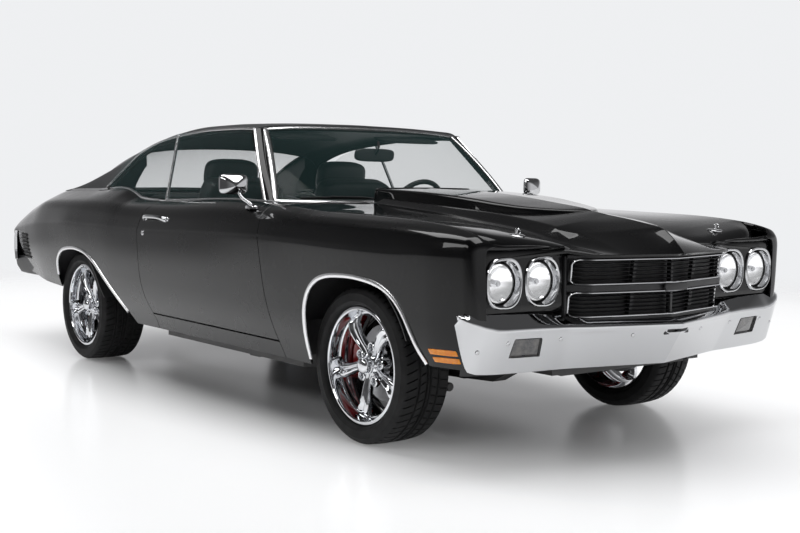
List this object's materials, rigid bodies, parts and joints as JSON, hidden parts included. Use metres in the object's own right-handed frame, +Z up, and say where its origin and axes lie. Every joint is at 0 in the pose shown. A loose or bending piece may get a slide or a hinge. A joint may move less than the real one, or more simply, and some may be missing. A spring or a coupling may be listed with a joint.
{
  "type": "muscle car",
  "caption": "Hardtop muscle car with raised-centre hood, pointed split-grille nose, opening doors, hood and boot lid, steered front wheels and spinning wheels.",
  "frame": {"origin": "centre of the footprint on the ground, half way along the overall length", "axes": "+X towards the nose, +Y to the car's left side, +Z up"},
  "size_m": [5.015, 2, 1.3879],
  "materials": {
    "body_paint": "high gloss black",
    "vinyl_roof": "satin grained vinyl cover",
    "bright_trim": "polished",
    "wheel_bright": "polished deep-lip wheel",
    "clear_glass": "light teal-grey tint",
    "lamp_glass": "clear fluted lens over a bright reflector",
    "smoked_lens": "smoked lens",
    "red_lens": "red lens",
    "satin_black": "satin black",
    "frame_black": "semi-gloss black chassis paint",
    "axle_iron": "painted casting",
    "pipe_steel": "aluminised pipe",
    "tank_steel": "galvanised sheet",
    "seat_cloth": "black cloth",
    "cabin_plastic": "grained",
    "tyre_rubber": "matte side wall"
  },
  "bodies": {
    "body_shell": {"boot_floor": "satin_black", "cowl_panel": "body_paint", "dashboard": "cabin_plastic", "deck_panel": "body_paint", "driveline": "axle_iron", "engine": "axle_iron", "exhaust": "pipe_steel", "fender_left": "body_paint", "fender_right": "body_paint", "floor_pan": "satin_black", "frame_crossmembers": "frame_black", "frame_rail_left": "frame_black", "frame_rail_right": "frame_black", "front_bumper": "bright_trim", "front_lamps": "lamp_glass", "front_suspension": "frame_black", "fuel_tank": "tank_steel", "grille": "satin_black", "header_panel": "body_paint", "parking_lamps": "smoked_lens", "quarter_glass": "clear_glass", "quarter_left": "body_paint", "quarter_right": "body_paint", "radiator_support": "satin_black", "rear_axle": "axle_iron", "rear_bumper": "bright_trim", "rear_pan": "satin_black", "rear_window": "clear_glass", "rocker_left": "body_paint", "rocker_right": "body_paint", "roof": "vinyl_roof", "seat_rear": "seat_cloth", "seats_front": "seat_cloth", "tail_lamps": "red_lens", "tail_panel": "body_paint", "wheel_houses_front": "satin_black", "wheel_houses_rear": "satin_black", "windshield": "clear_glass"},
    "door_left": {"door_left": "body_paint", "door_glass_left": "clear_glass", "mirror_left": "bright_trim"},
    "door_right": {"door_right": "body_paint", "door_glass_right": "clear_glass", "mirror_right": "bright_trim"},
    "hood": {"hood": "body_paint"},
    "trunk_lid": {"trunk_lid": "body_paint"},
    "steering_wheel": {"steering_wheel": "cabin_plastic"},
    "knuckle_left": {"knuckle_left": "axle_iron"},
    "knuckle_right": {"knuckle_right": "axle_iron"},
    "wheel_front_left": {"rim_front_left": "wheel_bright", "tyre_front_left": "tyre_rubber"},
    "wheel_front_right": {"rim_front_right": "wheel_bright", "tyre_front_right": "tyre_rubber"},
    "wheel_rear_left": {"rim_rear_left": "wheel_bright", "tyre_rear_left": "tyre_rubber"},
    "wheel_rear_right": {"rim_rear_right": "wheel_bright", "tyre_rear_right": "tyre_rubber"}
  },
  "joints": [
    {"name": "door_left_hinge", "type": "hinge", "parent": "body_shell", "child": "door_left", "pos_m": [0.8375, 0.94, 0.62], "axis": [0, 0, -1], "range_deg": [0, 62]},
    {"name": "door_right_hinge", "type": "hinge", "parent": "body_shell", "child": "door_right", "pos_m": [0.8375, -0.94, 0.62], "axis": [0, 0, 1], "range_deg": [0, 62]},
    {"name": "hood_hinge", "type": "hinge", "parent": "body_shell", "child": "hood", "pos_m": [0.8475, 0, 1.045], "axis": [0, -1, 0], "range_deg": [0, 50]},
    {"name": "trunk_hinge", "type": "hinge", "parent": "body_shell", "child": "trunk_lid", "pos_m": [-1.7955, 0, 1.012], "axis": [0, 1, 0], "range_deg": [0, 70]},
    {"name": "steer_right", "type": "hinge", "parent": "body_shell", "child": "knuckle_right", "pos_m": [1.5375, -0.655, 0.326], "axis": [0, 0, 1], "range_deg": [-32, 32]},
    {"name": "steer_left", "type": "hinge", "parent": "body_shell", "child": "knuckle_left", "pos_m": [1.5375, 0.655, 0.326], "axis": [0, 0, 1], "range_deg": [-32, 32]},
    {"name": "steering_wheel_turn", "type": "hinge", "parent": "body_shell", "child": "steering_wheel", "pos_m": [0.3195, 0.39, 0.926], "axis": [-0.9063, 0, 0.4226], "range_deg": [-520, 520]},
    {"name": "front_left_wheel_spin", "type": "hinge", "parent": "knuckle_left", "child": "wheel_front_left", "pos_m": [1.5375, 0.748, 0.326], "axis": [0, 1, 0], "continuous": true},
    {"name": "front_right_wheel_spin", "type": "hinge", "parent": "knuckle_right", "child": "wheel_front_right", "pos_m": [1.5375, -0.748, 0.326], "axis": [0, 1, 0], "continuous": true},
    {"name": "rear_left_wheel_spin", "type": "hinge", "parent": "body_shell", "child": "wheel_rear_left", "pos_m": [-1.3075, 0.733, 0.326], "axis": [0, 1, 0], "continuous": true},
    {"name": "rear_right_wheel_spin", "type": "hinge", "parent": "body_shell", "child": "wheel_rear_right", "pos_m": [-1.3075, -0.733, 0.326], "axis": [0, 1, 0], "continuous": true}
  ],
  "couplings": [
    {"joint": "steer_left", "follows": "steer_right", "ratio": 1},
    {"joint": "steering_wheel_turn", "follows": "steer_right", "ratio": 16}
  ]
}
